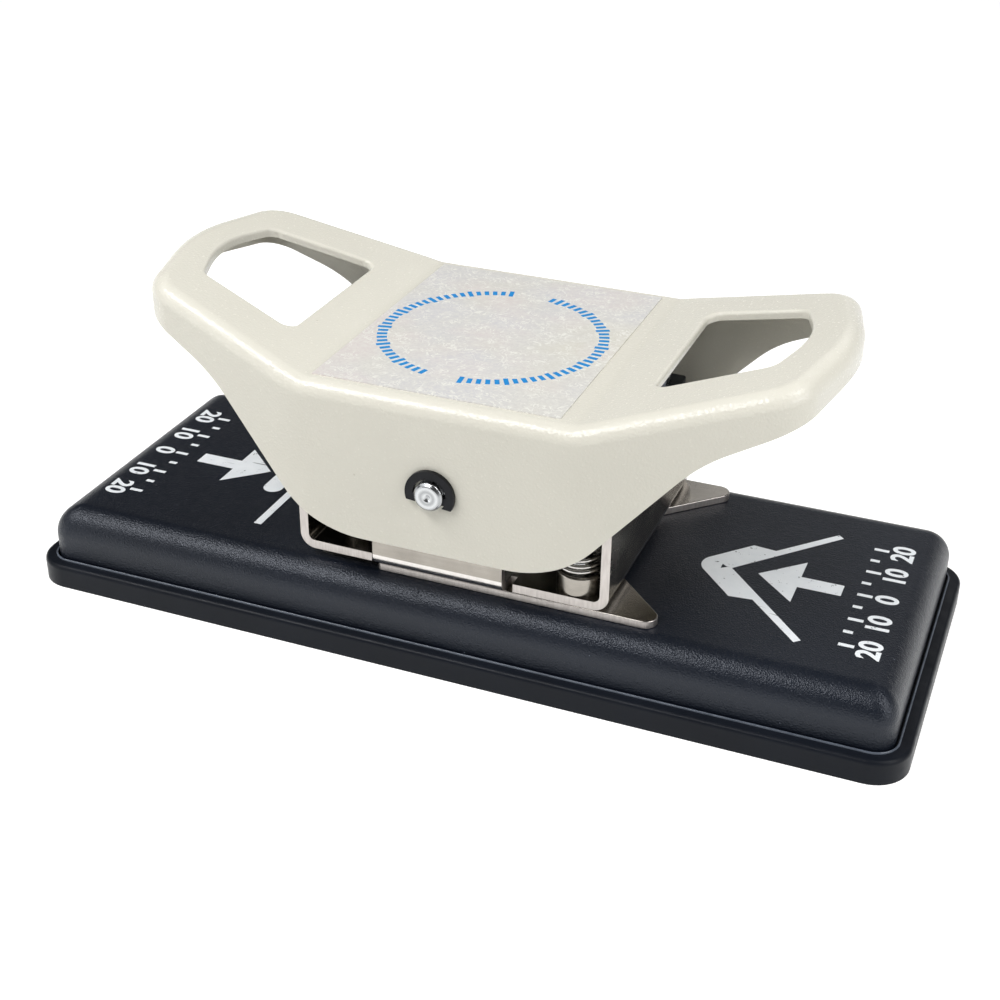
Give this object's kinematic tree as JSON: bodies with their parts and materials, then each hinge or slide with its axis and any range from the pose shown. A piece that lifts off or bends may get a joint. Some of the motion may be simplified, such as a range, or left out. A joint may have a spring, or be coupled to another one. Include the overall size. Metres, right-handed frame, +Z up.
{
  "type": "id card slot punch",
  "caption": "Desk punch for plastic cards: a rocking two-wing lever over a steel frame cuts a strap slot at one side and rounds card corners at the other, on a low base that keeps the chips.",
  "frame": {"origin": "centre of the base's resting face", "axes": "+X along the base from the slot side to the corner side, +Y from the front to the back, +Z up"},
  "size_m": [0.2, 0.081, 0.075],
  "materials": {
    "cream_paint": "smooth cream stove enamel with a soft gloss",
    "black_powder_coat": "fine textured black powder coat",
    "black_plastic": "satin black moulding",
    "nickel_plate": "dull nickel plate on pressed steel",
    "hardened_steel": "ground tool steel",
    "blued_steel": "blued steel plate",
    "spring_steel": "drawn spring wire",
    "zinc_steel": "bright zinc plate",
    "bright_steel": "ground bright steel",
    "black_oxide": "black oxide on spring steel",
    "silver_label": "speckled silver-grey film"
  },
  "bodies": {
    "base": {"base_housing": "black_powder_coat", "die_plate": "hardened_steel", "guide_plate": "nickel_plate", "punch_frame": "nickel_plate", "frame_screws": "zinc_steel", "frame_nuts": "zinc_steel", "pivot_pin": "bright_steel", "pivot_spacer_front": "zinc_steel", "pivot_spacer_rear": "zinc_steel", "e_clip_front": "black_oxide", "e_clip_rear": "black_oxide", "slot_post_front": "bright_steel", "slot_post_rear": "bright_steel", "corner_post_front": "bright_steel", "corner_post_rear": "bright_steel", "slot_collar_front": "nickel_plate", "slot_collar_rear": "nickel_plate", "corner_collar_front": "nickel_plate", "corner_collar_rear": "nickel_plate", "slot_spring_front": "spring_steel", "slot_spring_rear": "spring_steel", "corner_spring_front": "spring_steel", "corner_spring_rear": "spring_steel"},
    "tray": {"chip_tray": "black_plastic"},
    "lever": {"lever_shell": "cream_paint", "lever_label": "silver_label", "lever_saddle": "nickel_plate", "slot_cross_pin": "bright_steel", "corner_cross_pin": "bright_steel"},
    "slot_punch": {"slot_punch_holder": "blued_steel", "slot_punch_blade": "hardened_steel"},
    "corner_punch": {"corner_punch_holder": "blued_steel", "corner_punch_blade": "hardened_steel"}
  },
  "joints": [
    {"name": "lever_rock", "type": "hinge", "parent": "base", "child": "lever", "pos_m": [0, 0, 0.0429], "axis": [0, 1, 0], "range_deg": [-9.5, 9.5], "stiffness_Nm_per_rad": 4},
    {"name": "slot_punch_slide", "type": "slide", "parent": "base", "child": "slot_punch", "axis": [0, 0, 1], "range_m": [-0.004, 0.004], "deforming": ["slot_spring_front", "slot_spring_rear"]},
    {"name": "corner_punch_slide", "type": "slide", "parent": "base", "child": "corner_punch", "axis": [0, 0, 1], "range_m": [-0.004, 0.004], "deforming": ["corner_spring_front", "corner_spring_rear"]},
    {"name": "tray_pull", "type": "slide", "parent": "base", "child": "tray", "axis": [0, 0, -1], "range_m": [0, 0.03]}
  ],
  "couplings": [
    {"joint": "slot_punch_slide", "follows": "lever_rock", "m_per_rad": 0.024},
    {"joint": "corner_punch_slide", "follows": "lever_rock", "m_per_rad": -0.024}
  ]
}
